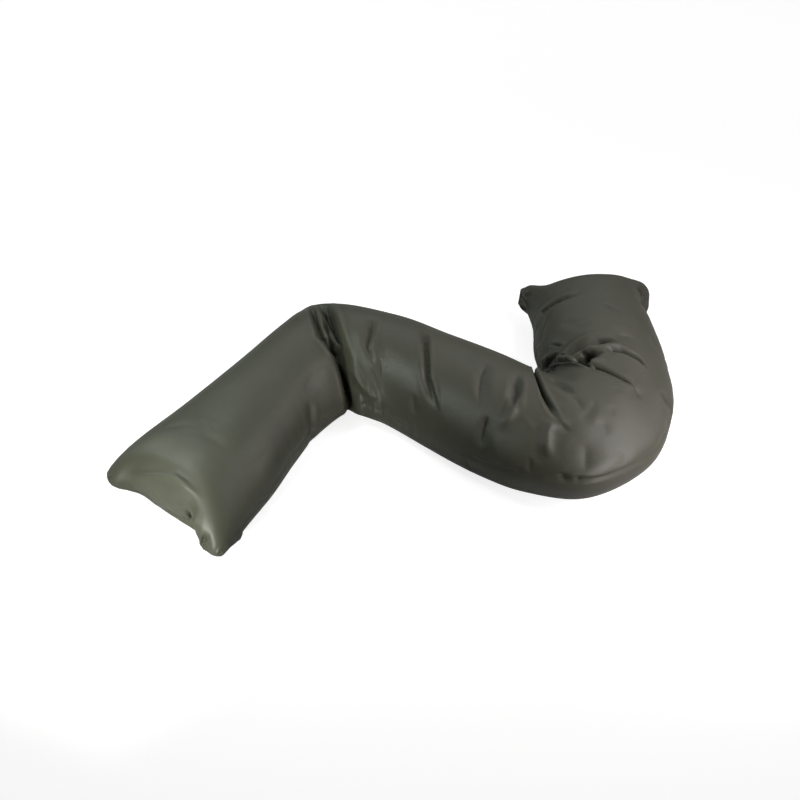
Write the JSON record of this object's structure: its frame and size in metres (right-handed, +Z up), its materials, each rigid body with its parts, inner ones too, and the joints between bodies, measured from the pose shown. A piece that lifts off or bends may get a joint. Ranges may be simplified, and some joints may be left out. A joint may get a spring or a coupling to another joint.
{
  "type": "positioning cushion",
  "caption": "Long soft bead-filled support cushion of dark coated cloth, lying in an S with a sharp fold and a round bend.",
  "frame": {"origin": "on the floor, under the middle of the cushion's bounding box as it lies", "axes": "+X along the longest extent, from the left leg's end to the round bend; +Y towards the far limb's end; +Z up"},
  "size_m": [1.1826, 0.814, 0.1879],
  "materials": {
    "coated_cloth": "dark grey-olive polyurethane-coated cloth with a soft satin sheen"
  },
  "bodies": {
    "root": {"cushion": "coated_cloth"}
  },
  "joints": []
}
